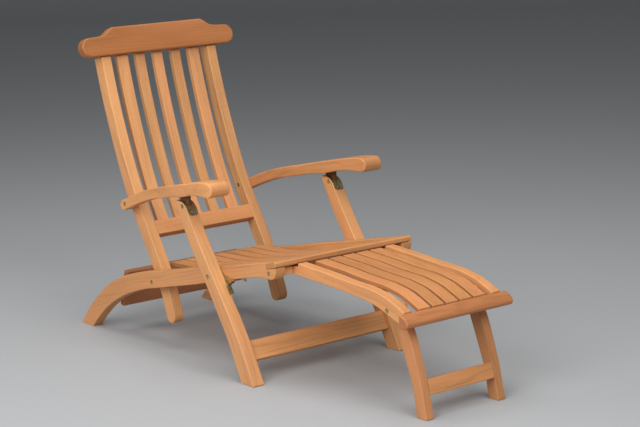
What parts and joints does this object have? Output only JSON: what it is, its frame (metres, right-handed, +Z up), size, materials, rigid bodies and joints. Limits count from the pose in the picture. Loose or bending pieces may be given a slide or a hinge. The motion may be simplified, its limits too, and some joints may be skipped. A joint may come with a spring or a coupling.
{
  "type": "steamer deck chair",
  "caption": "Folding slatted teak deck chair: curved reclining back, rails that sweep down as rear legs, shaped arms on folding front legs and a hinged footrest on its own legs.",
  "frame": {"origin": "on the floor, at the middle of the chair's overall footprint", "axes": "+X to the sitter's left, -Y towards the footrest, the way the sitter faces, +Z up"},
  "size_m": [0.6554, 1.5706, 0.979],
  "materials": {
    "teak": "sanded teak with a thin oil, satin",
    "red_teak": "darker, redder sanded teak with a thin oil, satin",
    "brass": "aged brass, dull satin"
  },
  "bodies": {
    "seat_frame": {"side_rail_left": "teak", "side_rail_right": "teak", "hinge_block_left": "teak", "hinge_block_right": "teak", "back_pivot_bolt_left": "brass", "back_pivot_bolt_right": "brass", "leg_pivot_bolt_left": "brass", "leg_pivot_bolt_right": "brass", "footrest_pivot_bolt_left": "brass", "footrest_pivot_bolt_right": "brass", "front_rail": "teak", "rear_board_upper": "teak", "rear_board_lower": "teak", "seat_bearer_rear": "teak", "seat_bearer_middle": "teak", "seat_bearer_front": "teak", "seat_slat_1": "teak", "seat_slat_2": "teak", "seat_slat_3": "teak", "seat_slat_4": "teak", "seat_slat_5": "teak", "seat_slat_6": "teak", "seat_slat_7": "teak"},
    "back": {"stile_left": "teak", "stile_right": "teak", "head_rail": "red_teak", "back_lower_rail": "teak", "back_slat_1": "teak", "back_slat_2": "teak", "back_slat_3": "teak", "back_slat_4": "teak", "back_slat_5": "teak", "arm_pivot_bolt_left": "brass", "arm_pivot_bolt_right": "brass"},
    "left_arm": {"arm_left": "teak"},
    "right_arm": {"arm_right": "teak"},
    "front_legs": {"front_leg_left": "teak", "front_leg_right": "teak", "leg_strap_left": "brass", "leg_strap_right": "brass", "leg_stop_left": "brass", "leg_stop_right": "brass", "arm_pin_left": "brass", "arm_pin_right": "brass", "front_leg_stretcher": "teak"},
    "footrest": {"footrest_rail_left": "teak", "footrest_rail_right": "teak", "footrest_leg_bolt_left": "brass", "footrest_leg_bolt_right": "brass", "footrest_slat_1": "teak", "footrest_slat_2": "teak", "footrest_slat_3": "teak", "footrest_slat_4": "teak", "footrest_slat_5": "teak", "footrest_end_rail": "red_teak", "footrest_bearer_rear": "teak", "footrest_bearer_middle": "teak"},
    "footrest_legs": {"footrest_leg_left": "teak", "footrest_leg_right": "teak", "footrest_leg_stretcher": "teak"}
  },
  "joints": [
    {"name": "back_fold", "type": "hinge", "parent": "seat_frame", "child": "back", "pos_m": [0, 0.3648, 0.20956], "axis": [1, 0, 0], "range_deg": [0, 75]},
    {"name": "left_arm_fold", "type": "hinge", "parent": "back", "child": "left_arm", "pos_m": [0, 0.50167, 0.43813], "axis": [1, 0, 0], "range_deg": [-75, 0]},
    {"name": "right_arm_fold", "type": "hinge", "parent": "back", "child": "right_arm", "pos_m": [0, 0.50167, 0.43813], "axis": [1, 0, 0], "range_deg": [-75, 0]},
    {"name": "front_leg_fold", "type": "hinge", "parent": "seat_frame", "child": "front_legs", "pos_m": [0, 0.0038, 0.29502], "axis": [1, 0, 0], "range_deg": [0, 88.5]},
    {"name": "footrest_fold", "type": "hinge", "parent": "seat_frame", "child": "footrest", "pos_m": [0, -0.2402, 0.33878], "axis": [1, 0, 0], "range_deg": [0, 80]},
    {"name": "footrest_leg_fold", "type": "hinge", "parent": "footrest", "child": "footrest_legs", "pos_m": [0, -0.6646, 0.29374], "axis": [1, 0, 0], "range_deg": [0, 105]}
  ],
  "couplings": [
    {"joint": "left_arm_fold", "follows": "back_fold", "ratio": -1},
    {"joint": "right_arm_fold", "follows": "back_fold", "ratio": -1},
    {"joint": "front_leg_fold", "follows": "back_fold", "ratio": 1.18}
  ]
}
